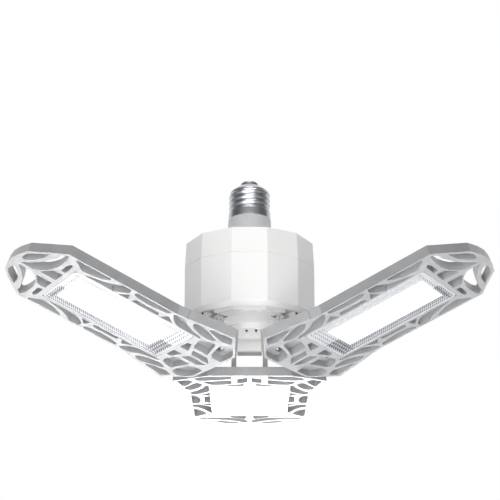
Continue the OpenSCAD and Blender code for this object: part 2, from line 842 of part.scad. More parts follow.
module drum_choke() {
    color([0.3, 0.3, 0.32])
        on_board(choke_shares) {
            cylinder(r = choke_r, h = choke_flange_h);
            cylinder(r = choke_core_r, h = choke_h);
            translate([0, 0, choke_h - choke_flange_h])
                cylinder(r = choke_r, h = choke_flange_h);
        }
}

module fuse_resistor() {
    color([0.35, 0.55, 0.4])
        on_board(fuse_shares)
            cylinder(r = fuse_r, h = fuse_h);
}

module heat_sink() {
    color([0.75, 0.75, 0.76])
        on_board(heat_sink_shares)
            block(sink_w, sink_t, sink_h);
}

module switch_transistor() {
    color([0.1, 0.1, 0.1])
        on_board(heat_sink_shares)
            translate([0, -(sink_t + transistor_t) / 2, 0])
                block(transistor_w, transistor_t, transistor_h);
}

module arm_sockets() {
    color([0.9, 0.9, 0.85])
        for (az = arm_azimuths)
            rotate([0, 0, az])
                on_board([socket_share, 0])
                    block(socket_w, socket_w, socket_h);
}

module live_lead() {
    color([0.1, 0.1, 0.1])
        translate([0, 0, driver_top_z])
            cylinder(r = lead_r, h = insulator_z - rivet_l - driver_top_z);
}

module neutral_lead() {
    slope = shoulder_h / (thread_root_r - shoulder_r);
    top_z = shoulder_z - shell_wall - slope * (neutral_lead_r + lead_r - shoulder_r + shell_wall);
    color([0.92, 0.92, 0.92])
        translate([neutral_lead_r, 0, driver_top_z])
            cylinder(r = lead_r, h = top_z - shell_wall - driver_top_z);
}

// Arms

// Half outline of the arm, from the inner end to the middle of the blunt end
function half_outline() =
    let (corner_r = at(root_zone, [corner_share, 0])[0])
    let (straight_r = at(root_zone, [straight_share, 0])[0])
    concat(
        [[inner_r, seam_side(inner_r)], [corner_r, seam_side(corner_r)]],
        [for (share = taper_shares) at(root_zone, share)],
        [[straight_r, arm_side], [narrow_r, arm_side], [tip_r, blunt_w / 2],
         [tip_r + bow_rise_share * blunt_bow, bow_share * blunt_w / 2], [arm_reach, 0]]
    );

function whole_outline() =
    let (half = half_outline(), n = len(half))
    concat(half, [for (i = [n - 2 : -1 : 0]) [half[i][0], -half[i][1]]]);

// Draws pockets of a table at both sides of the arm, between two heights
module cut_pockets(table, zone, low, high) {
    for (entry = table)
        for (side = [0, 1])
            mirror([0, side, 0])
                translate([0, 0, low])
                    linear_extrude(height = high - low)
                        polygon(rounded([for (share = entry[1]) at(zone, share)], entry[0]));
}

module arm_box(x0, x1, half_w, low, high) {
    translate([x0, -half_w, low])
        cube([x1 - x0, 2 * half_w, high - low]);
}

module ear() {
    profile = concat(
        [[-ear_root_in, back_n - back_t / 2], [ear_root_out, back_n - back_t / 2], [ear_root_out, back_n],
         [ear_r, back_n + ear_root_h]],
        [for (a = [0 : 15 : 180]) ear_r * [cos(a), sin(a)]],
        [[-ear_root_in, back_n]]
    );
    for (side = [-1, 1])
        translate([0, side < 0 ? -ear_in : ear_out, 0])
            rotate([90, 0, 0])
                linear_extrude(height = ear_t)
                    polygon(profile);
}

// The ribs under the ears, from the inner wall outwards
module ear_ribs() {
    rib_end = at(root_zone, [ear_rib_share, 0])[0];
    for (side = [-1, 1])
        translate([inner_r + arm_wall / 2, side < 0 ? -ear_out : ear_in, face_n])
            cube([rib_end - inner_r, ear_t, arm_depth - back_t / 2]);
}

module board_screw_places() {
    for (x = [lens_r + board_screw_inset, lens_r + lens_l - board_screw_inset])
        for (side = [-1, 1])
            translate([x, side * (led_board_side - board_screw_inset), 0])
                children();
}

// Everything on an arm is drawn with the arm flat, measured from the lamp's axis
module on_arm(az, tilt) {
    at_hinge(az, tilt)
        translate([-hinge_r, 0, 0])
            children();
}

module arm_frame(az, tilt) {
    color([0.93, 0.93, 0.93])
        on_arm(az, tilt)
            difference() {
                union() {
                    difference() {
                        translate([0, 0, face_n])
                            linear_extrude(height = arm_depth)
                                polygon(whole_outline());
                        cut_pockets(root_pocket_shares, root_zone, face_n - over, plate_n);
                        cut_pockets(side_pocket_shares, side_zone, face_n - over, plate_n);
                        cut_pockets(tip_pocket_shares, tip_zone, face_n - over, plate_n);
                        cut_pockets(root_opening_shares, root_zone, face_n - over, back_n + over);
                        cut_pockets(tip_opening_shares, tip_zone, face_n - over, back_n + over);
                        arm_box(recess_in, recess_out, recess_side, face_n - over, plate_n);
                        lens_notches();
                    }
                    ear_ribs();
                    translate([hinge_r, 0, 0])
                        ear();
                }
                translate([hinge_r, ear_out + over, 0])
                    rotate([90, 0, 0])
                        cylinder(r = pin_r + running_fit, h = 2 * (ear_out + over));
                board_screw_places()
                    translate([0, 0, plate_n - over])
                        cylinder(r = board_screw_r + running_fit, h = back_t + 2 * over);
            }
}

module lens_notches() {
    for (share = tab_shares)
        arm_box(lens_r + share * lens_l - tab_w / 2 - light_gap, lens_r + share * lens_l + tab_w / 2 + light_gap,
                rim_side + over / 4, face_n - over, plate_n - led_board_t);
}

module led_board(az, tilt) {
    color([0.9, 0.9, 0.92])
        on_arm(az, tilt)
            difference() {
                arm_box(lens_r + light_gap, lens_r + lens_l - light_gap, led_board_side, led_board_n, plate_n);
                board_screw_places()
                    translate([0, 0, led_board_n - over])
                        cylinder(r = board_screw_r + seat_fit, h = led_board_t + 2 * over);
            }
}

module led_chips(az, tilt) {
    field_l = led_field_share * lens_l;
    field_w = led_field_share * lens_w;
    color([0.98, 0.9, 0.55])
        on_arm(az, tilt)
            for (i = [0 : led_rows - 1])
                for (j = [0 : led_columns - 1])
                    translate([lens_r + lens_l / 2 + field_l * ((i + 0.5) / led_rows - 0.5),
                               field_w * ((j + 0.5) / led_columns - 0.5), led_board_n - led_h])
                        block(led_side, led_side, led_h);
}

module board_screws(az, tilt) {
    color([0.7, 0.7, 0.7])
        on_arm(az, tilt)
            board_screw_places() {
                translate([0, 0, led_board_n - board_head_h])
                    cylinder(r = board_head_r, h = board_head_h);
                translate([0, 0, led_board_n - board_head_h / 2])
                    cylinder(r = board_screw_r, h = board_head_h / 2 + led_board_t + back_t);
            }
}

module lens(az, tilt) {
    lens_n = face_n + lens_t;
    outer = rounded(rectangle(lens_r, lens_r + lens_l, -lens_w / 2, lens_w / 2), lens_corner);
    inner = rectangle(lens_r + lens_t, lens_r + lens_l - lens_t, lens_t - lens_w / 2, lens_w / 2 - lens_t);
    color([0.97, 0.97, 1])
        on_arm(az, tilt) {
            difference() {
                translate([0, 0, face_n])
                    linear_extrude(height = led_board_n - face_n)
                        polygon(outer);
                translate([0, 0, lens_n])
                    linear_extrude(height = arm_depth)
                        polygon(inner);
            }
            for (share = tab_shares)
                difference() {
                    arm_box(lens_r + share * lens_l - tab_w / 2, lens_r + share * lens_l + tab_w / 2,
                            lens_w / 2 + tab_l, face_n, lens_n);
                    arm_box(lens_r, lens_r + lens_l, lens_w / 2 - lens_t / 2, face_n - over, lens_n + over);
                }
        }
}

centre_contact();
cap_insulator();
screw_shell();
cap_collar();
upper_housing();
lower_housing();
hub_base();
hub_cap();
hinge_screws();
hinge_inserts();
hinge_washers();
driver_board();
driver_screws();
transformer_core();
transformer_winding();
filter_capacitors();
bridge_rectifier();
drum_choke();
fuse_resistor();
switch_transistor();
heat_sink();
arm_sockets();
live_lead();
neutral_lead();
arm_frame(left_az, raise);  // left_frame
led_board(left_az, raise);  // left_led_board
led_chips(left_az, raise);  // left_led_chips
board_screws(left_az, raise);  // left_board_screws
lens(left_az, raise);  // left_lens
arm_frame(right_az, raise);  // right_frame
led_board(right_az, raise);  // right_led_board
led_chips(right_az, raise);  // right_led_chips
board_screws(right_az, raise);  // right_board_screws
lens(right_az, raise);  // right_lens
arm_frame(rear_az, 0);  // rear_frame
led_board(rear_az, 0);  // rear_led_board
led_chips(rear_az, 0);  // rear_led_chips
board_screws(rear_az, 0);  // rear_board_screws
lens(rear_az, 0);  // rear_lens
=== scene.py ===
"""Looks of a screw-in garage light: housing, hub, screw cap and three arms with LED panels."""

import math

import bmesh
import bpy
from mathutils import Matrix, Vector
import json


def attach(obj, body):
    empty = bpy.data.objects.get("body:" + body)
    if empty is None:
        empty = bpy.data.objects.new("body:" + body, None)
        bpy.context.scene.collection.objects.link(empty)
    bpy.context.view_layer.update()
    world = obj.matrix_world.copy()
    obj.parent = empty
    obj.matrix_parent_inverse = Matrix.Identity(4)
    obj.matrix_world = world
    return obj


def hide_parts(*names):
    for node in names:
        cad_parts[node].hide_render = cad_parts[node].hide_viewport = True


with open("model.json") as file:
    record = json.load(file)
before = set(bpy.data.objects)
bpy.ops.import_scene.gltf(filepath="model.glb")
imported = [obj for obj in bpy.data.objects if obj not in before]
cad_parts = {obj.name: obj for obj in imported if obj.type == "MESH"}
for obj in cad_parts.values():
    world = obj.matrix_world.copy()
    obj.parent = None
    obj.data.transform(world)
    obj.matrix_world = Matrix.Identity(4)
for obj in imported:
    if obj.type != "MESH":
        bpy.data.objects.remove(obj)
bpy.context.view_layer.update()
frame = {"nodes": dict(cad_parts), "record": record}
mm = 0.001

# Sizes repeated from the part's source, in millimetres
HINGE_R, HINGE_Z = 28.5, -73.2
FACE_DROP = 23.6
LENS_R, LENS_L, LENS_W, LENS_DEPTH = 44.3, 79.7, 49.0, 2.9
SKIRT_R, SKIRT_H = 13.3, 4.9
THREAD_ROOT_R, THREAD_H, THREAD_PITCH, THREAD_TURNS = 12.3, 0.8, 3.63, 3.5
SHOULDER_R, SHOULDER_H, SHELL_WALL = 8.4, 3.2, 0.5
SLOT_X, SLOT_Y, SLOT_W = (-1.85, 4.03), (-9.05, -1.96), 1.35
LEAD_HOLE_R, LEAD_HOLE_Y, LEAD_HOLE_W, LEAD_HOLE_D = 35.18, 5.46, 2.97, 2.16

# Each arm's angle round the axis and its angle above level, in degrees
ARMS = {"left": (210, 19.57), "right": (330, 19.57), "rear": (90, 0)}

# Camera, at the photograph's angle: low in front of the lamp and looking up. Its place and lens are
# in millimetres, its angle in degrees
CAMERA_AT, CAMERA_RISE = (0.28, -768.9, -301.4), 20.13
LENS_LENGTH, SENSOR_WIDTH = 93.6, 36

camera_data = bpy.data.cameras.new("camera")
camera_data.sensor_width = SENSOR_WIDTH
camera_data.lens = LENS_LENGTH
camera_data.clip_start, camera_data.clip_end = 0.05, 20
camera = bpy.data.objects.new("camera", camera_data)
camera.location = [part * mm for part in CAMERA_AT]
camera.rotation_euler = (math.radians(90 + CAMERA_RISE), 0, 0)
bpy.context.scene.collection.objects.link(camera)
bpy.context.scene.camera = camera


# Materials

# Most of a noise pattern lies between these two values
NOISE_LOW, NOISE_HIGH = 0.3, 0.7


def tint(text):
    """A colour written as an sRGB hex value, turned to linear."""
    parts = [int(text[i:i + 2], 16) / 255 for i in (1, 3, 5)]
    return [p / 12.92 if p <= 0.04045 else ((p + 0.055) / 1.055) ** 2.4 for p in parts] + [1.0]


def add(tree, kind, inputs=None, **settings):
    """Adds a node with its settings, and fills its inputs with values or links."""
    made = tree.nodes.new(kind)
    for name, value in settings.items():
        setattr(made, name, value)
    for name, value in (inputs or {}).items():
        if isinstance(value, bpy.types.NodeSocket):
            tree.links.new(value, made.inputs[name])
        else:
            made.inputs[name].default_value = value
    return made


def finish(name, tones, patch, gloss, haze, grain=1.0, depth=0.0, flow=(1, 1, 1), relief="noise",
           **shader):
    """A whole finish. Its colour drifts between two tones in patches of a size, its roughness
    between two values in patches of haze, and its skin has grains of a size and depth. Sizes are
    in millimetres. Flow stretches the patterns the way the piece was drawn, rolled or moulded."""
    material = bpy.data.materials.new(name)
    material.use_nodes = True
    tree = material.node_tree
    tree.nodes.clear()
    place = add(tree, "ShaderNodeTexCoord").outputs["Object"]
    place = add(tree, "ShaderNodeMapping", {"Vector": place, "Scale": flow}).outputs["Vector"]

    drift = add(tree, "ShaderNodeTexNoise",
                {"Vector": place, "Scale": 1 / (patch * mm), "Detail": 3.0})
    colour = add(tree, "ShaderNodeValToRGB", {"Fac": drift.outputs["Fac"]})
    for stop, position, tone in zip(colour.color_ramp.elements, (NOISE_LOW, NOISE_HIGH), tones):
        stop.position, stop.color = position, tint(tone)

    cloud = add(tree, "ShaderNodeTexNoise",
                {"Vector": place, "Scale": 1 / (haze * mm), "Detail": 2.0})
    rough = add(tree, "ShaderNodeMapRange",
                {"Value": cloud.outputs["Fac"], "From Min": NOISE_LOW, "From Max": NOISE_HIGH,
                 "To Min": gloss[0], "To Max": gloss[1]})
    surface = add(tree, "ShaderNodeBsdfPrincipled",
                  {"Base Color": colour.outputs["Color"], "Roughness": rough.outputs["Result"],
                   **shader})
    if depth:
        size = {"Vector": place, "Scale": 1 / (grain * mm)}
        if relief == "peel":
            skin = add(tree, "ShaderNodeTexVoronoi", size, feature="SMOOTH_F1").outputs["Distance"]
        elif relief == "weave":
            skin = add(tree, "ShaderNodeTexChecker", size).outputs["Fac"]
        else:
            skin = add(tree, "ShaderNodeTexNoise", {**size, "Detail": 2.0}).outputs["Fac"]
        bump = add(tree, "ShaderNodeBump",
                   {"Height": skin, "Distance": depth * mm, "Strength": 1.0})
        tree.links.new(bump.outputs["Normal"], surface.inputs["Normal"])
    add(tree, "ShaderNodeOutputMaterial", {"Surface": surface.outputs["BSDF"]})
    return material


# Glossy moulded ABS: a bright white skin that mirrors its surroundings softly, with the faint waves
# of shrinkage over the ribs inside
gloss_abs = finish("moulded_abs_gloss", ("#f3f3f2", "#f5f5f4"), 60, (0.29, 0.31), 40, 14, 0.02,
                   IOR=1.52)

# Satin moulded ABS, from a less polished part of the tool: softer, and greyer than the housing as
# painted shade under the housing
satin_abs_painted_shade = finish("moulded_abs_satin", ("#dededd", "#e5e5e4"), 12, (0.34, 0.44), 6, 6, 0.01,
                   IOR=1.52)

# Moulded PBT: light grey and satin, with the fine grain of a spark-eroded tool
collar_pbt = finish("moulded_pbt_grey", ("#d0d1d2", "#d6d7d8"), 7, (0.38, 0.48), 3, 0.5, 0.006,
                    IOR=1.57)

# Die-cast aluminium under silver-grey powder coat: orange peel that breaks up its soft shine
powder_coat = finish("powder_coated_casting", ("#a2a3a5", "#acadaf"), 9, (0.34, 0.46), 3, 0.9,
                     0.02, relief="peel", IOR=1.5)

# The same coat on the long outer walls, made darker as painted shade for walls that turn away from
# the light from below
painted_wall_shade_coat = finish("powder_coat_painted_wall_shade", ("#8f9092", "#98999b"), 9, (0.34, 0.46), 3, 0.9, 0.02,
                   relief="peel", IOR=1.5)

# Nickel-plated brass, deep drawn and thread-rolled: fine lines run round the axis, and it is bright
# but not a mirror
nickel = finish("nickel_plated_brass", ("#bec1c6", "#c9ccd0"), 5, (0.28, 0.32), 3, 2, 0.0015,
                (0.2, 0.2, 3), Metallic=1.0)

# Tinned contact: satin solder with a cast skin
solder = finish("tinned_contact", ("#989a9c", "#a8a9ab"), 2, (0.42, 0.52), 1.5, 1.5, 0.01,
                Metallic=1.0)

# Pressed glass insulator: dark grey and glossy, with soft ripples from the mould
vitrite = finish("pressed_glass", ("#77787a", "#8c8d8f"), 2, (0.16, 0.3), 1.4, 1.2, 0.02, IOR=1.52)

# Zinc-plated steel screws: bright, bluish, with turning marks
zinc = finish("zinc_plated_steel", ("#dcdee0", "#e8e9ea"), 2, (0.38, 0.48), 1.5, 0.5, 0.003,
              Metallic=1.0)

# Turned brass: warm, with fine tool marks
turned_brass = finish("turned_brass", ("#b98f45", "#d3ab60"), 1, (0.25, 0.4), 0.6, 0.3, 0.004,
                      Metallic=1.0)

# Black moulded nylon, and the sleeves and lead insulation that look like it: dull, never fully
# black. The walls of the hub's slots and lead holes take it too, as painted shade
black_nylon_and_hole_shade = finish("black_nylon_and_hole_shade", ("#1d1d1f", "#2a2a2c"), 2, (0.4, 0.6), 1, 0.6, 0.01, IOR=1.53)

# Glass-fibre board under green solder mask: glossy, with its weave just showing
mask_green = finish("solder_mask_green", ("#15502a", "#1d6234"), 3, (0.25, 0.4), 2, 0.8, 0.01,
                    relief="weave", IOR=1.5)

# Sintered ferrite: dark, dull and slightly porous
ferrite = finish("sintered_ferrite", ("#303033", "#414145"), 0.6, (0.5, 0.75), 0.5, 0.4, 0.03,
                 IOR=2.2)

# Yellow polyester tape, wound in overlapping layers: a glossy film with long low steps
tape = finish("polyester_tape", ("#d9a51e", "#ecbf3a"), 2, (0.2, 0.35), 1.5, 2, 0.03,
              (0.3, 0.3, 4), IOR=1.57)

# Lacquered resistor body: dipped, so its skin is rounded and uneven
lacquer = finish("resistor_lacquer", ("#4d7a58", "#5f8d69"), 1.5, (0.3, 0.5), 1, 1.2, 0.03,
                 IOR=1.5)

# Rolled aluminium sheet: fine lines along the sheet
rolled_sheet = finish("rolled_aluminium", ("#c6c7c9", "#d8d9da"), 2, (0.28, 0.45), 1, 0.8, 0.008,
                      (0.2, 4, 1), Metallic=1.0)

# Natural nylon plug sockets and the pale lead: creamy and slightly waxy
pale_nylon = finish("natural_nylon", ("#e3e0d2", "#eeebdf"), 2, (0.4, 0.55), 1, 0.8, 0.008,
                    IOR=1.53)

# White solder mask on the aluminium LED boards: clean and semi-gloss
mask_white = finish("solder_mask_white", ("#ecedef", "#f6f6f8"), 4, (0.3, 0.45), 2, 1.5, 0.005,
                    IOR=1.5)

# Silicone over yellow phosphor in each LED: waxy, with the grain of the phosphor
phosphor = finish("phosphor_silicone", ("#efd14c", "#f8e27a"), 0.5, (0.25, 0.4), 0.6, 0.2, 0.006,
                  IOR=1.41)

# Lens polycarbonate over lit LEDs: the field glows evenly because the light is spread inside the
# plastic
lens_field = finish("polycarbonate_lit_field", ("#f6f6f8", "#fbfbfd"), 3, (0.2, 0.26), 2, 1.2,
                    0.008, **{"IOR": 1.585, "Emission Color": tint("#ffffff"),
                              "Emission Strength": 0.2})

# The same plastic round the field, with less light behind it
lens_border = finish("polycarbonate_border", ("#c6c8cc", "#d3d5d9"), 2, (0.2, 0.28), 2, 0.8, 0.004,
                     IOR=1.585)

# Prism sides that face away from the LEDs, given a dark plastic as painted shade
lens_prism_painted_shade = finish("polycarbonate_painted_prism_shade", ("#24252c", "#3a3b44"), 1.6, (0.45, 0.6), 1,
                    **{"IOR": 1.585, "Specular IOR Level": 0.2})

SLOT_FINISH = {
    "contact_metal": solder, "insulator": vitrite, "shell_metal": nickel,
    "grey_plastic": collar_pbt, "white_plastic": gloss_abs, "white_casting": powder_coat,
    "screw_steel": zinc, "insert_brass": turned_brass, "black_plastic": black_nylon_and_hole_shade,
    "board_green": mask_green, "core_ferrite": ferrite, "winding_tape": tape,
    "resistor_body": lacquer, "bare_aluminium": rolled_sheet, "socket_plastic": pale_nylon,
    "led_board": mask_white, "led_chip": phosphor, "lens_plastic": lens_field,
}
node_slots = {row["node"]: row["material_slot"] for row in frame["record"]["subparts"]}
for name, held in frame["nodes"].items():
    held.data.materials.clear()
    held.data.materials.append(SLOT_FINISH[node_slots[name]])


# Shaping

# Corners closer than this, in millimetres, are one corner. Faces within this angle, in degrees, are
# one face
MERGE_WITHIN, FLAT_WITHIN = 0.002, 0.5


def copy_of(node):
    """The node's mesh with its loose triangles merged into plain faces."""
    shape = bmesh.new()
    shape.from_mesh(frame["nodes"][node].data)
    bmesh.ops.remove_doubles(shape, verts=shape.verts, dist=MERGE_WITHIN * mm)
    bmesh.ops.dissolve_limit(shape, angle_limit=math.radians(FLAT_WITHIN), verts=shape.verts,
                             edges=shape.edges)
    return shape


def soften(shape, width, from_angle, segments):
    """Rounds every edge that is sharper than the angle, by a width in millimetres."""
    sharp = [e for e in shape.edges
             if len(e.link_faces) == 2 and e.calc_face_angle(0) > math.radians(from_angle)]
    bmesh.ops.bevel(shape, geom=sharp, offset=width * mm, offset_type="OFFSET",
                    segments=segments, profile=0.5, affect="EDGES", clamp_overlap=True,
                    material=-1)


def piece(name, shape, body, materials, stands_for, smooth=40):
    """Turns a shape into an object that rides on a body in the place of some nodes. Edges sharper
    than the last angle stay crisp."""
    mesh = bpy.data.meshes.new(name)
    shape.to_mesh(mesh)
    shape.free()
    for material in materials:
        mesh.materials.append(material)
    mesh.shade_smooth()
    mesh.set_sharp_from_angle(angle=math.radians(smooth))
    made = bpy.data.objects.new(name, mesh)
    bpy.context.scene.collection.objects.link(made)
    even = made.modifiers.new("even_shading", "WEIGHTED_NORMAL")
    even.keep_sharp = True
    even.weight = 80
    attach(made, body)
    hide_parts(*stands_for)
    return made


def rounded_copy(node, body, width, from_angle, segments, material=None):
    """Replaces a node by a copy with its sharp edges rounded, in its own material or another."""
    shape = copy_of(node)
    soften(shape, width, from_angle, segments)
    slot = node_slots[node]
    return piece(node + "_finished", shape, body, [material or SLOT_FINISH[slot]], [node])


# Each node's rounding suits how it is made: broad on the housing's mouldings, fine on the screws.
# The numbers are its width, the angle from which an edge is sharp, and its steps
rounded_copy("upper_housing", "lamp_body", 0.5, 22, 3)
rounded_copy("lower_housing", "lamp_body", 0.5, 22, 3)
# The hub's base and disc take the greyer satin copy of the white plastic, as painted shade
hub = rounded_copy("hub_base", "lamp_body", 0.3, 28, 2, satin_abs_painted_shade)
hub_disc = rounded_copy("hub_cap", "lamp_body", 0.15, 28, 2, satin_abs_painted_shade)
rounded_copy("cap_collar", "lamp_body", 0.4, 40, 3)
rounded_copy("hinge_screws", "lamp_body", 0.12, 40, 2)

# A face of a frame is one of its long outer walls when it is larger than this, in square
# millimetres, and turned this far to the arm's side
WALL_AREA, WALL_TURN = 120, 0.4

for side, (azimuth, _) in ARMS.items():
    casting = rounded_copy(side + "_frame", side + "_arm", 0.28, 40, 2)
    # A darker copy of the coat, painted shade, goes on the long outer walls
    casting.data.materials.append(painted_wall_shade_coat)
    across = Vector((-math.sin(math.radians(azimuth)), math.cos(math.radians(azimuth)), 0))
    for face in casting.data.polygons:
        if face.area > WALL_AREA * mm ** 2 and abs(face.normal.dot(across)) > WALL_TURN:
            face.material_index = 1


# A point closer to a wall than this is on it. The walls of a lead hole start this far above the
# hinge pins, past its rounded mouth. Both in millimetres
ON_WALL, LEAD_HOLE_RISE = 0.05, 3.3


def paint_hole_shade(made, inside):
    """Paints the upright walls of deep holes black: painted shade for the unlit gap behind them."""
    made.data.materials.append(black_nylon_and_hole_shade)
    for face in made.data.polygons:
        if abs(face.normal.z) < 0.5 and inside(face.center / mm):
            face.material_index = len(made.data.materials) - 1


def in_slot(p):
    """Whether a point of the hub's disc lies in the part of a slot that goes right through."""
    return (min(abs(p.x - SLOT_X[0]), abs(p.x - SLOT_X[1])) < SLOT_W / 2 + ON_WALL
            and SLOT_Y[0] - ON_WALL < p.y < SLOT_Y[1] + ON_WALL)


def in_lead_hole(p):
    """Whether a point of the hub lies in one of the holes behind the knuckles."""
    for azimuth, _ in ARMS.values():
        own = Matrix.Rotation(math.radians(-azimuth), 3, "Z") @ p
        if (abs(own.x - LEAD_HOLE_R) < LEAD_HOLE_W / 2 + ON_WALL
                and abs(abs(own.y) - LEAD_HOLE_Y) < LEAD_HOLE_D / 2 + ON_WALL
                and own.z > HINGE_Z + LEAD_HOLE_RISE):
            return True
    return False


# Painted shade: black on the walls of the disc's slots and of the lead holes
paint_hole_shade(hub_disc, in_slot)
paint_hole_shade(hub, in_lead_hole)


def arm_place(side):
    """Where an arm's own directions lie: along the arm, sideways, and up from the hinge pins."""
    azimuth, tilt = ARMS[side]
    return (Matrix.Rotation(math.radians(azimuth), 4, "Z")
            @ Matrix.Translation((HINGE_R * mm, 0, HINGE_Z * mm))
            @ Matrix.Rotation(math.radians(-tilt), 4, "Y")
            @ Matrix.Translation((-HINGE_R * mm, 0, 0)))


# The lens, in millimetres. Its face is sunk behind a lip
LENS_CORNER, LENS_EDGE = 1.9, 0.3
LIP_W, LIP_SLOPE, FACE_SINK = 0.8, 0.12, 0.28
# Its prisms start this far from its two ends. The lit field starts further in, by LIT_IN at the
# hub's end and LIT_OUT at the tip, and reaches LIT_SIDE to each side, where two bands of prisms run
# along it
PRISM_INSET = 1.2
LIT_IN, LIT_OUT, LIT_SIDE = 9.2, 4.2, 15.0
BAND_SIDES = ((LIT_SIDE, 20), (20.7, 23.4))
PRISM_PITCH, PRISM_BASE = 1.35, 1.3
# A prism's side is turned to the arm's middle, or to its tip, when its normal points more than this
# that way
PRISM_TURN = 0.3
# The ridge between the bands: its radius, its way to the side, its rise, its start and its gaps
RIDGE_R, RIDGE_V, RIDGE_RISE, RIDGE_START, RIDGE_GAP = 0.26, 20.3, 0.08, 1, 1.2
# The seams in the ridge and the tabs beside them, as shares of the lens's length, and a tab's size
# and its place out from the lens's side and up from its face
SEAM_SHARES = (0.305, 0.505, 0.71)
TAB_SIZE, TAB_OUT, TAB_UP = (1.1, 1.1, 1.2), 0.3, 0.7
# The places of the lens's materials in its list
FIELD, BORDER, DARK = 0, 1, 2


def faces_at(corners):
    """The faces that meet at any of the corners."""
    return {face for corner in corners for face in corner.link_faces}


def block(shape, centre, size, material):
    """Adds a box of a size at a place, in millimetres, with one of the lens's materials."""
    made = bmesh.ops.create_cube(shape, size=1,
                                 matrix=Matrix.Translation([part * mm for part in centre])
                                 @ Matrix.Diagonal([part * mm for part in size] + [1]))
    for face in faces_at(made["verts"]):
        face.material_index = material


def scatter(shape, r_range, v_range, face_n, at_end=False):
    """Rows of small moulded pyramids between two distances along the arm and two sideways."""
    rows = max(1, round((r_range[1] - r_range[0]) / PRISM_PITCH))
    columns = max(1, round((v_range[1] - v_range[0]) / PRISM_PITCH))
    # Each pyramid points down, and its sides face along the arm and across it
    turn = Matrix.Rotation(math.pi, 4, "X") @ Matrix.Rotation(math.pi / 4, 4, "Z")
    for i in range(rows):
        for j in range(columns):
            # Neighbouring columns are staggered by half a pitch
            shift = 0.25 * PRISM_PITCH * (1 if j % 2 else -1)
            r = r_range[0] + (i + 0.5) * (r_range[1] - r_range[0]) / rows + shift
            v = v_range[0] + (j + 0.5) * (v_range[1] - v_range[0]) / columns
            spot = Matrix.Translation((r * mm, v * mm, (face_n - FACE_SINK / 2) * mm)) @ turn
            made = bmesh.ops.create_cone(shape, cap_ends=False, segments=4,
                                         radius1=PRISM_BASE * mm / 2 ** 0.5, radius2=0,
                                         depth=FACE_SINK * mm, matrix=spot)
            for face in faces_at(made["verts"]):
                face.normal_update()
                # The side of a prism that is turned to the arm's middle is painted dark, as painted
                # shade on the prisms. So is every other one that is turned to the tip, at the ends
                # of the lens
                inward = face.normal.y * v < 0 and abs(face.normal.y) > PRISM_TURN
                outward = at_end and face.normal.x > PRISM_TURN and (i + j) % 2
                face.material_index = DARK if inward or outward else BORDER


def lens_piece(side):
    """The lens: a shallow tray with a raised lip, a lit field and bands of prisms round it."""
    face_n = -FACE_DROP
    shape = bmesh.new()
    bmesh.ops.create_cube(shape, size=1)
    bmesh.ops.scale(shape, verts=shape.verts, vec=(LENS_L * mm, LENS_W * mm, LENS_DEPTH * mm))
    bmesh.ops.translate(shape, verts=shape.verts,
                        vec=((LENS_R + LENS_L / 2) * mm, 0, (face_n + LENS_DEPTH / 2) * mm))
    upright = [e for e in shape.edges
               if abs((e.verts[0].co - e.verts[1].co).z) > 0.5 * LENS_DEPTH * mm]
    bmesh.ops.bevel(shape, geom=upright, offset=LENS_CORNER * mm, segments=4, profile=0.5,
                    affect="EDGES", material=-1)
    front = [f for f in shape.faces if f.normal.z < -0.9]
    bmesh.ops.bevel(shape, geom=[e for f in front for e in f.edges], offset=LENS_EDGE * mm,
                    segments=2, profile=0.5, affect="EDGES", material=-1)
    front = [f for f in shape.faces if f.normal.z < -0.99]
    bmesh.ops.inset_region(shape, faces=front, thickness=LIP_W * mm, depth=0)
    bmesh.ops.inset_region(shape, faces=front, thickness=LIP_SLOPE * mm, depth=-FACE_SINK * mm)
    for face in shape.faces:
        face.material_index = BORDER

    low = face_n + FACE_SINK
    in_r, out_r = LENS_R + PRISM_INSET, LENS_R + LENS_L - PRISM_INSET
    block(shape, ((in_r + out_r + LIT_IN - LIT_OUT) / 2, 0, low),
          (out_r - in_r - LIT_IN - LIT_OUT, 2 * LIT_SIDE, FACE_SINK), FIELD)
    seams = [LENS_R + share * LENS_L for share in SEAM_SHARES]
    for way in (-1, 1):
        for inner, outer in BAND_SIDES:
            scatter(shape, (in_r + LIT_IN, out_r - LIT_OUT), sorted((way * inner, way * outer)),
                    low)
        stops = [in_r + RIDGE_START] + seams + [out_r]
        for start, end in zip(stops, stops[1:]):
            spot = Matrix.Translation(((start + end) / 2 * mm, way * RIDGE_V * mm,
                                       (low - RIDGE_RISE) * mm))
            bar = bmesh.ops.create_cone(shape, cap_ends=True, segments=3, radius1=RIDGE_R * mm,
                                        radius2=RIDGE_R * mm, depth=(end - start - RIDGE_GAP) * mm,
                                        matrix=spot @ Matrix.Rotation(math.pi / 2, 4, "Y"))
            for face in faces_at(bar["verts"]):
                face.material_index = BORDER
        for seam in seams:
            block(shape, (seam, way * (LENS_W / 2 + TAB_OUT), face_n + TAB_UP), TAB_SIZE, BORDER)
    width = (-BAND_SIDES[-1][1], BAND_SIDES[-1][1])
    scatter(shape, (in_r, in_r + LIT_IN), width, low, True)
    scatter(shape, (out_r - LIT_OUT, out_r), width, low, True)
    bmesh.ops.transform(shape, matrix=arm_place(side), verts=shape.verts)
    piece(side + "_lens_prisms", shape, side + "_arm", [lens_field, lens_border, lens_prism_painted_shade],
          [side + "_lens"])


for side in ARMS:
    lens_piece(side)


# Where the thread starts, as a share of a turn, and the share of a pitch over which it rises at
# each end. The line that is spun has this many points along the thread, and the spin as many steps
# as the second number
THREAD_START, THREAD_FADE = 0.09, 0.3
THREAD_POINTS, SPIN_STEPS = 56, 96


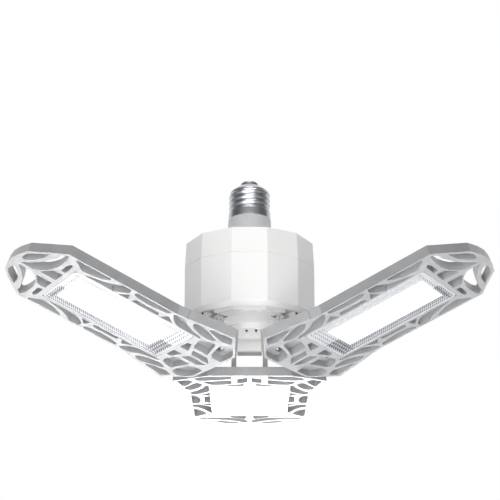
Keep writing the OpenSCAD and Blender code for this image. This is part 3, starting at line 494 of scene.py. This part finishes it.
def shell_piece():
    """The screw shell: a drawn skirt, the rolled thread and the shoulder. Its line is spun round,
    with steps of a few tenths of a millimetre at its bends, and the thread is raised on it."""
    foot = SKIRT_H + SKIRT_R - THREAD_ROOT_R
    top = foot + THREAD_TURNS * THREAD_PITCH
    rim = top + SHOULDER_H
    line = [(SHOULDER_R - SHELL_WALL, rim - SHELL_WALL), (SHOULDER_R - SHELL_WALL, rim),
            (SHOULDER_R, rim), (SHOULDER_R + 0.4, rim - 0.15),
            (THREAD_ROOT_R - 0.25, top + 0.35), (THREAD_ROOT_R, top)]
    line += [(THREAD_ROOT_R, top + (foot - top) * i / THREAD_POINTS)
             for i in range(1, THREAD_POINTS)]
    line += [(THREAD_ROOT_R, foot), (SKIRT_R - 0.25, SKIRT_H + 0.12),
             (SKIRT_R, SKIRT_H - 0.25), (SKIRT_R, 0.15), (SKIRT_R - 0.15, 0),
             (SKIRT_R - SHELL_WALL, 0), (SKIRT_R - SHELL_WALL, SKIRT_H - SHELL_WALL)]
    shape = bmesh.new()
    corners = [shape.verts.new((r * mm, 0, z * mm)) for r, z in line]
    edges = [shape.edges.new(pair) for pair in zip(corners, corners[1:])]
    bmesh.ops.spin(shape, geom=corners + edges, cent=(0, 0, 0), axis=(0, 0, 1),
                   angle=math.tau, steps=SPIN_STEPS, use_merge=True)
    bmesh.ops.remove_doubles(shape, verts=shape.verts, dist=MERGE_WITHIN * mm)
    for corner in shape.verts:
        rise = corner.co.z / mm - foot
        if 0 < rise < top - foot and abs(corner.co.xy.length / mm - THREAD_ROOT_R) < ON_WALL:
            turn = math.atan2(corner.co.y, corner.co.x) / math.tau
            fade = min(1, min(rise, top - foot - rise) / (THREAD_FADE * THREAD_PITCH))
            wave = (1 + math.cos(math.tau * (rise / THREAD_PITCH - turn - THREAD_START))) / 2
            grow = 1 + THREAD_H * wave * fade / THREAD_ROOT_R
            corner.co.x, corner.co.y = corner.co.x * grow, corner.co.y * grow
    bmesh.ops.recalc_face_normals(shape, faces=shape.faces)
    piece("screw_shell_rolled", shape, "lamp_body", [nickel], ["screw_shell"], 50)


shell_piece()


# Studio

# Each light's distance from the point that it is aimed at, in metres, and that point's height in
# millimetres
LIGHT_AWAY, LIGHT_AIM = 1.6, -60


def lit_from(name, around, height, wide, high, power, beam=180):
    """A soft light, at an angle round the lamp from the front and an angle of height, with the
    size of its face in metres, its power in watts and the angle of its beam."""
    around, height = math.radians(around), math.radians(height)
    away = Vector((math.sin(around) * math.cos(height), -math.cos(around) * math.cos(height),
                   math.sin(height)))
    data = bpy.data.lights.new(name, "AREA")
    data.shape = "RECTANGLE"
    data.size, data.size_y = wide, high
    data.spread = math.radians(beam)
    data.energy = power
    made = bpy.data.objects.new(name, data)
    made.location = Vector((0, 0, LIGHT_AIM * mm)) + away * LIGHT_AWAY
    made.rotation_euler = (-away).to_track_quat("-Z", "Y").to_euler()
    bpy.context.scene.collection.objects.link(made)


lit_from("front", -5, -5, 1.4, 0.6, 11)
lit_from("front_low", -5, -38, 1.8, 0.2, 7)
lit_from("low_left", -19, -55, 0.8, 0.8, 5)
lit_from("low_far_left", -60, -50, 0.8, 0.8, 6)
lit_from("low_right", 90, -60, 0.8, 0.8, 8)
lit_from("behind_left", -150, -35, 0.3, 0.3, 0.1, 18)
lit_from("behind", 180, -25, 0.3, 0.3, 0.2, 18)
lit_from("above", 0, 80, 0.8, 0.8, 12)

world = bpy.data.worlds.new("studio")
bpy.context.scene.world = world
world.use_nodes = True
tree = world.node_tree
tree.nodes.clear()
seen = add(tree, "ShaderNodeLightPath").outputs["Is Camera Ray"]
# Round the lamp the room is bright behind, where the white backdrop stands, dim at the sides, and
# of a middle brightness in front. Each pair is a place from front to back, 0 to 1, and a brightness
ROOM = ((0, 0.48), (0.3, 0.14), (0.61, 0.16), (0.78, 1.0))
ahead = add(tree, "ShaderNodeSeparateXYZ",
            {"Vector": add(tree, "ShaderNodeTexCoord").outputs["Generated"]})
depth = add(tree, "ShaderNodeMapRange",
            {"Value": ahead.outputs["Y"], "From Min": -1.0, "From Max": 1.0})
room = add(tree, "ShaderNodeValToRGB", {"Fac": depth.outputs["Result"]})
room.color_ramp.elements.new(ROOM[1][0])
room.color_ramp.elements.new(ROOM[2][0])
for stop, (position, grey) in zip(room.color_ramp.elements, ROOM):
    stop.position, stop.color = position, (grey, grey, grey, 1)
dim = add(tree, "ShaderNodeBackground", {"Color": room.outputs["Color"], "Strength": 1.0})
white = add(tree, "ShaderNodeBackground", {"Color": tint("#ffffff"), "Strength": 1.0})
both = add(tree, "ShaderNodeMixShader")
tree.links.new(seen, both.inputs[0])
tree.links.new(dim.outputs[0], both.inputs[1])
tree.links.new(white.outputs[0], both.inputs[2])
add(tree, "ShaderNodeOutputWorld", {"Surface": both.outputs[0]})

# The floor's radius and height, in metres
FLOOR_R, FLOOR_Z = 6, -2.0

floor_shape = bmesh.new()
bmesh.ops.create_circle(floor_shape, cap_ends=True, segments=96, radius=FLOOR_R)
bmesh.ops.translate(floor_shape, verts=floor_shape.verts, vec=(0, 0, FLOOR_Z))
floor_mesh = bpy.data.meshes.new("floor")
floor_shape.to_mesh(floor_mesh)
floor_shape.free()
# Painted studio floor: matt, pale and even
floor_mesh.materials.append(finish("studio_floor_paint", ("#ececec", "#f2f2f2"), 300,
                                   (0.65, 0.75), 100))
floor = bpy.data.objects.new("floor", floor_mesh)
bpy.context.scene.collection.objects.link(floor)

view = bpy.context.scene.view_settings
view.view_transform = "Standard"
view.look = "None"
view.exposure, view.gamma = 0, 1
